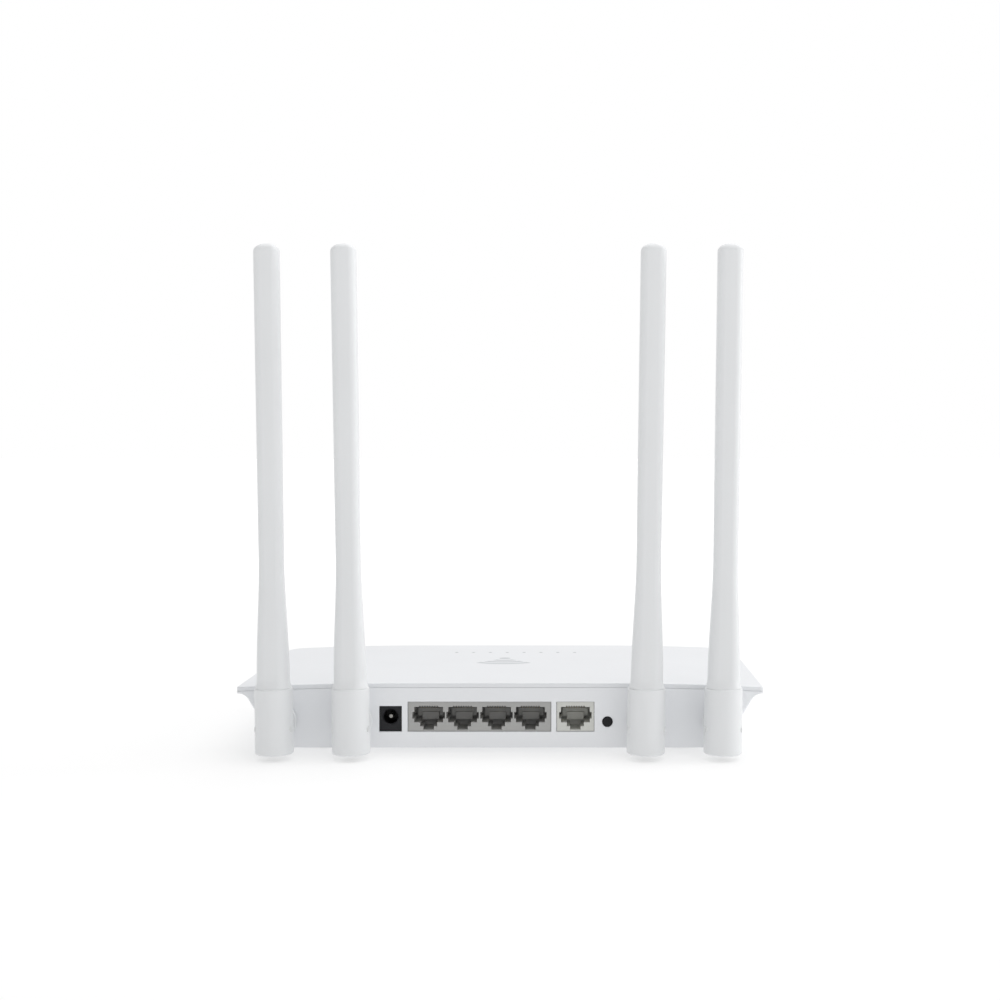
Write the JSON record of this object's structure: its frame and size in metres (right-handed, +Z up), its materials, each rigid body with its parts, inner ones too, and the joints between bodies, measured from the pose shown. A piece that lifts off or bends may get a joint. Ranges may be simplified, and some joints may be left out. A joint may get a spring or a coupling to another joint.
{
  "type": "wireless router",
  "caption": "Low flared case with a row of network jacks, a power inlet and a reset button, and swivelling, folding antennas along its rear panel.",
  "frame": {"origin": "middle of the router's footprint, antennas included, on the table plane under the feet", "axes": "+X along the port panel, to the right as the ports are faced; +Y from the port panel to the front edge; +Z up"},
  "size_m": [0.217, 0.1502, 0.208],
  "materials": {
    "cover_white": "satin white",
    "case_white": "fine matt white",
    "antenna_white": "satin white",
    "ring_plastic": "natural",
    "pin_white": "moulded acetal",
    "radiator_brass": "drawn",
    "lead_black": "extruded",
    "foot_rubber": "moulded",
    "label_film": "blank",
    "screw_steel": "zinc plated",
    "board_green": "solder mask",
    "can_tin": "tinned",
    "chip_black": "moulded",
    "crystal_metal": "plain",
    "sink_aluminium": "extruded",
    "jack_grey": "moulded",
    "jack_ivory": "moulded",
    "contact_gold": "gold flash",
    "power_black": "moulded",
    "power_metal": "nickel",
    "button_black": "moulded",
    "light_clear": "clear moulded",
    "chip_yellow": "moulded"
  },
  "bodies": {
    "base": {"bottom_case": "case_white", "top_cover": "cover_white", "rubber_feet": "foot_rubber", "rating_label": "label_film", "case_screws": "screw_steel", "board_screws": "screw_steel", "main_board": "board_green", "shield_can_left": "can_tin", "shield_can_right": "can_tin", "processor": "chip_black", "heat_sink": "sink_aluminium", "memory_chips": "chip_black", "line_transformers": "chip_black", "capacitors": "chip_black", "inductors": "chip_black", "crystal": "crystal_metal", "lan_jack": "jack_grey", "lan_contacts": "contact_gold", "wan_jack": "jack_ivory", "wan_contacts": "contact_gold", "power_jack": "power_black", "power_pin": "power_metal", "power_spring": "power_metal", "reset_switch": "button_black", "light_chips": "chip_yellow", "light_guide": "light_clear", "inner_lead_1": "lead_black", "inner_lead_2": "lead_black", "inner_lead_3": "lead_black", "inner_lead_4": "lead_black"},
    "reset_button": {"reset_cap": "button_black", "reset_plunger": "button_black"},
    "knuckle_1": {"antenna_knuckle_1": "antenna_white", "antenna_ring_1": "ring_plastic"},
    "antenna_1": {"antenna_pin_1": "pin_white", "antenna_barrel_1": "antenna_white", "antenna_sleeve_1": "antenna_white", "antenna_radiator_1": "radiator_brass", "antenna_lead_1": "lead_black"},
    "knuckle_2": {"antenna_knuckle_2": "antenna_white", "antenna_ring_2": "ring_plastic"},
    "antenna_2": {"antenna_pin_2": "pin_white", "antenna_barrel_2": "antenna_white", "antenna_sleeve_2": "antenna_white", "antenna_radiator_2": "radiator_brass", "antenna_lead_2": "lead_black"},
    "knuckle_3": {"antenna_knuckle_3": "antenna_white", "antenna_ring_3": "ring_plastic"},
    "antenna_3": {"antenna_pin_3": "pin_white", "antenna_barrel_3": "antenna_white", "antenna_sleeve_3": "antenna_white", "antenna_radiator_3": "radiator_brass", "antenna_lead_3": "lead_black"},
    "knuckle_4": {"antenna_knuckle_4": "antenna_white", "antenna_ring_4": "ring_plastic"},
    "antenna_4": {"antenna_pin_4": "pin_white", "antenna_barrel_4": "antenna_white", "antenna_sleeve_4": "antenna_white", "antenna_radiator_4": "radiator_brass", "antenna_lead_4": "lead_black"}
  },
  "joints": [
    {"name": "reset_press", "type": "slide", "parent": "base", "child": "reset_button", "axis": [0, 1, 0], "range_m": [0, 0.0006], "stiffness_N_per_m": 1500, "springref_m": -0.0002},
    {"name": "swivel_1", "type": "hinge", "parent": "base", "child": "knuckle_1", "pos_m": [-0.0905, -0.05387, 0.0139], "axis": [0, 1, 0], "range_deg": [-89, 5]},
    {"name": "tilt_1", "type": "hinge", "parent": "knuckle_1", "child": "antenna_1", "pos_m": [-0.09048, -0.06988, 0.01255], "axis": [0.9999, 0, 0.0161], "range_deg": [0, 90]},
    {"name": "swivel_2", "type": "hinge", "parent": "base", "child": "knuckle_2", "pos_m": [-0.0595, -0.05387, 0.0139], "axis": [0, 1, 0], "range_deg": [-5, 34]},
    {"name": "tilt_2", "type": "hinge", "parent": "knuckle_2", "child": "antenna_2", "pos_m": [-0.05948, -0.06988, 0.01255], "axis": [0.9999, 0, 0.0161], "range_deg": [0, 90]},
    {"name": "swivel_3", "type": "hinge", "parent": "base", "child": "knuckle_3", "pos_m": [0.0595, -0.05387, 0.0139], "axis": [0, 1, 0], "range_deg": [-34, 5]},
    {"name": "tilt_3", "type": "hinge", "parent": "knuckle_3", "child": "antenna_3", "pos_m": [0.05948, -0.06988, 0.01255], "axis": [0.9999, 0, -0.0161], "range_deg": [0, 90]},
    {"name": "swivel_4", "type": "hinge", "parent": "base", "child": "knuckle_4", "pos_m": [0.0905, -0.05387, 0.0139], "axis": [0, 1, 0], "range_deg": [-5, 89]},
    {"name": "tilt_4", "type": "hinge", "parent": "knuckle_4", "child": "antenna_4", "pos_m": [0.09048, -0.06988, 0.01255], "axis": [0.9999, 0, -0.0161], "range_deg": [0, 90]}
  ]
}
